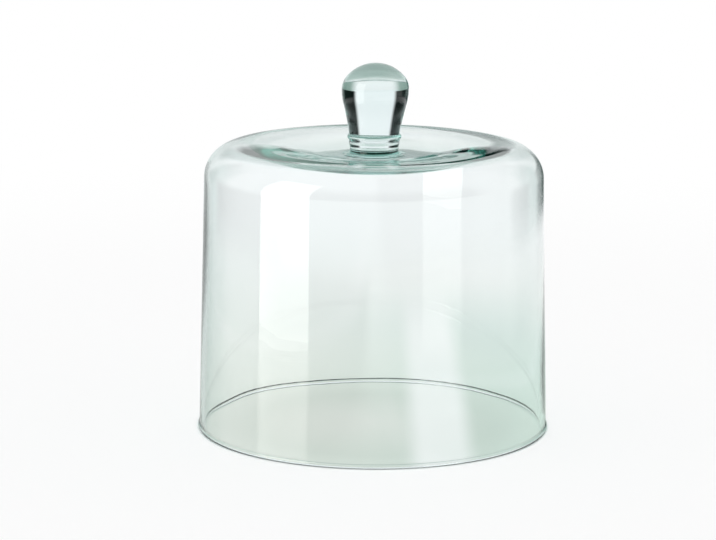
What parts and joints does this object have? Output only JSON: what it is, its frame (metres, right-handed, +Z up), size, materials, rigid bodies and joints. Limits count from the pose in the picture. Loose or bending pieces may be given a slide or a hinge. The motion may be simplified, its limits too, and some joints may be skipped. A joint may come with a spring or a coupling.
{
  "type": "cake dome",
  "caption": "Clear blown-glass cake dome: tapered wall, rounded shoulder, thick sunken crown and a solid glass knob on a collared neck. It stands open side down over a cake.",
  "frame": {"origin": "centre of the ring that the rim stands on", "axes": "+Z up along the axis of the dome, from the rim to the knob"},
  "size_m": [0.23, 0.23, 0.2392],
  "materials": {
    "clear_glass": "fire-polished, clear with a faint green tint"
  },
  "bodies": {
    "root": {"dome_shell": "clear_glass", "neck_foot": "clear_glass", "neck_ring": "clear_glass", "knob": "clear_glass"}
  },
  "joints": []
}
